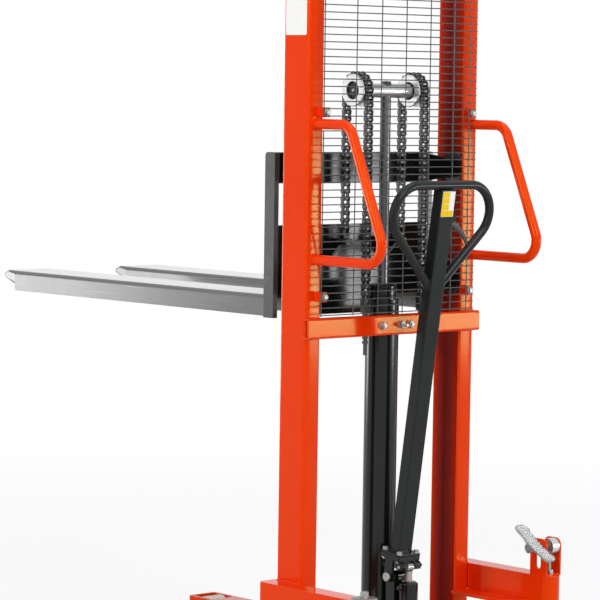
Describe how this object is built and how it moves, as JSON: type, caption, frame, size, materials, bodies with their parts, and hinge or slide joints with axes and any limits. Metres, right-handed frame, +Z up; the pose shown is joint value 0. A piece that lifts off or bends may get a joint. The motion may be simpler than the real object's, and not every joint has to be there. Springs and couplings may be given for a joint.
{
  "type": "hand pallet stacker",
  "caption": "Hand-pumped pallet stacker: two channel masts, a chain-lifted fork carriage on a hydraulic cylinder, a tiller pump, push handles and braked swivel casters.",
  "frame": {"origin": "on the floor under the middle of the overall length, on the mid-plane between the masts", "axes": "+Z up, +Y towards the fork tips, +X to the right of someone standing at the tiller"},
  "size_m": [0.732, 1.7016, 2.088],
  "materials": {
    "orange_paint": "gloss powder coat",
    "black_paint": "gloss enamel",
    "grey_paint": "satin silver-grey paint",
    "bare_steel": "turned and zinc plated",
    "chrome": "polished hard chrome",
    "chain_steel": "oiled black steel",
    "black_wire": "black coated wire",
    "wheel_nylon": "cast nylon",
    "black_bearing": "sealed bearing",
    "pedal_casting": "ribbed casting",
    "lever_plastic": "moulded"
  },
  "bodies": {
    "frame": {"mast_left": "orange_paint", "mast_right": "orange_paint", "mast_top_tie": "orange_paint", "base_cross_box": "orange_paint", "base_plate": "orange_paint", "leg_left": "orange_paint", "leg_right": "orange_paint", "load_axles": "bare_steel", "base_beam_left": "orange_paint", "base_beam_right": "orange_paint", "base_gussets": "orange_paint", "brake_bracket": "orange_paint", "cross_bar": "orange_paint", "cylinder_clamp": "bare_steel", "frame_fasteners": "bare_steel", "mesh_guard": "black_wire", "mesh_tabs": "orange_paint", "push_handle_left": "orange_paint", "push_handle_right": "orange_paint", "cylinder_tube": "black_paint", "cylinder_gland": "black_paint", "chain_behind_left": "chain_steel", "chain_behind_right": "chain_steel", "chain_anchors": "chain_steel", "pump_body": "black_paint", "release_valve": "bare_steel"},
    "lift_rod": {"piston_rod": "chrome", "crosshead": "bare_steel", "crosshead_fasteners": "bare_steel", "chain_over_pulleys": "chain_steel"},
    "pulleys": {"chain_pulley_left": "bare_steel", "chain_pulley_right": "bare_steel", "pulley_bearings": "black_bearing"},
    "carriage": {"fork_left": "grey_paint", "fork_right": "grey_paint", "carriage_uprights": "black_paint", "carriage_plate_upper": "black_paint", "carriage_plate_lower": "black_paint", "carriage_brackets": "black_paint", "chain_front_left": "chain_steel", "chain_front_right": "chain_steel"},
    "upper_rollers": {"mast_rollers_upper": "bare_steel"},
    "lower_rollers": {"mast_rollers_lower": "bare_steel"},
    "tiller": {"tiller_tube": "black_paint", "tiller_loop": "black_paint", "tiller_yoke": "black_paint", "yoke_fasteners": "bare_steel"},
    "pump_roller": {"pump_roller": "bare_steel"},
    "release_lever": {"release_lever": "lever_plastic"},
    "plunger": {"pump_plunger": "bare_steel"},
    "caster_left": {"caster_fork_left": "orange_paint", "swivel_cap": "bare_steel"},
    "caster_right": {"caster_fork_right": "orange_paint"},
    "wheel_left": {"caster_wheel_left": "wheel_nylon"},
    "wheel_right": {"caster_wheel_right": "wheel_nylon"},
    "load_roller_left": {"load_roller_left": "wheel_nylon"},
    "load_roller_right": {"load_roller_right": "wheel_nylon"},
    "brake": {"brake_pedal": "pedal_casting", "brake_cam": "bare_steel"},
    "push_bolt": {"brake_push_bolt": "bare_steel"}
  },
  "joints": [
    {"name": "lift_slide", "type": "slide", "parent": "frame", "child": "lift_rod", "axis": [0, 0, 1], "range_m": [-0.4725, 0.2825], "deforming": ["chain_behind_left", "chain_behind_right"]},
    {"name": "carriage_slide", "type": "slide", "parent": "lift_rod", "child": "carriage", "axis": [0, 0, 1], "range_m": [-0.4725, 0.2825], "deforming": ["chain_front_left", "chain_front_right"]},
    {"name": "pulley_spin", "type": "hinge", "parent": "lift_rod", "child": "pulleys", "pos_m": [0, -0.4842, 1.575], "axis": [1, 0, 0], "continuous": true},
    {"name": "upper_roller_spin", "type": "hinge", "parent": "carriage", "child": "upper_rollers", "pos_m": [0, -0.4702, 1.369], "axis": [1, 0, 0], "continuous": true},
    {"name": "lower_roller_spin", "type": "hinge", "parent": "carriage", "child": "lower_rollers", "pos_m": [0, -0.4702, 1.071], "axis": [1, 0, 0], "continuous": true},
    {"name": "tiller_tilt", "type": "hinge", "parent": "frame", "child": "tiller", "pos_m": [0, -0.5622, 0.29], "axis": [1, 0, 0], "range_deg": [0, 28], "stiffness_Nm_per_rad": 40, "springref_deg": -28.65},
    {"name": "plunger_slide", "type": "slide", "parent": "frame", "child": "plunger", "axis": [0, 0, 1], "range_m": [-0.02334, 0.0005]},
    {"name": "pump_roller_spin", "type": "hinge", "parent": "tiller", "child": "pump_roller", "pos_m": [0, -0.60382, 0.31816], "axis": [1, 0, 0], "continuous": true},
    {"name": "release_squeeze", "type": "hinge", "parent": "tiller", "child": "release_lever", "pos_m": [0.0335, -0.70513, 1.24638], "axis": [0, -0.989, -0.1478], "range_deg": [0, 20], "stiffness_Nm_per_rad": 0.4, "springref_deg": -22.92},
    {"name": "brake_rock", "type": "hinge", "parent": "frame", "child": "brake", "pos_m": [0.333, -0.7842, 0.367], "axis": [1, 0, 0], "range_deg": [-36, 0]},
    {"name": "push_bolt_slide", "type": "slide", "parent": "frame", "child": "push_bolt", "axis": [0, 0, 1], "range_m": [-0.0001, 0.00539]},
    {"name": "caster_left_swivel", "type": "hinge", "parent": "frame", "child": "caster_left", "pos_m": [-0.333, -0.7962, 0.29], "axis": [0, 0, 1], "continuous": true},
    {"name": "wheel_left_spin", "type": "hinge", "parent": "caster_left", "child": "wheel_left", "pos_m": [-0.333, -0.7512, 0.09], "axis": [1, 0, 0], "continuous": true},
    {"name": "load_roller_left_spin", "type": "hinge", "parent": "frame", "child": "load_roller_left", "pos_m": [-0.205, 0.4558, 0.037], "axis": [1, 0, 0], "continuous": true},
    {"name": "caster_right_swivel", "type": "hinge", "parent": "frame", "child": "caster_right", "pos_m": [0.333, -0.7962, 0.29], "axis": [0, 0, 1], "continuous": true},
    {"name": "wheel_right_spin", "type": "hinge", "parent": "caster_right", "child": "wheel_right", "pos_m": [0.333, -0.7512, 0.09], "axis": [1, 0, 0], "continuous": true},
    {"name": "load_roller_right_spin", "type": "hinge", "parent": "frame", "child": "load_roller_right", "pos_m": [0.205, 0.4558, 0.037], "axis": [1, 0, 0], "continuous": true}
  ],
  "couplings": [
    {"joint": "carriage_slide", "follows": "lift_slide", "ratio": 1},
    {"joint": "pulley_spin", "follows": "lift_slide", "rad_per_m": 23.362},
    {"joint": "upper_roller_spin", "follows": "lift_slide", "rad_per_m": -45.872},
    {"joint": "lower_roller_spin", "follows": "lift_slide", "rad_per_m": 45.872},
    {"joint": "plunger_slide", "follows": "tiller_tilt", "m_per_rad": -0.046727},
    {"joint": "push_bolt_slide", "follows": "brake_rock", "m_per_rad": -0.0084194}
  ]
}
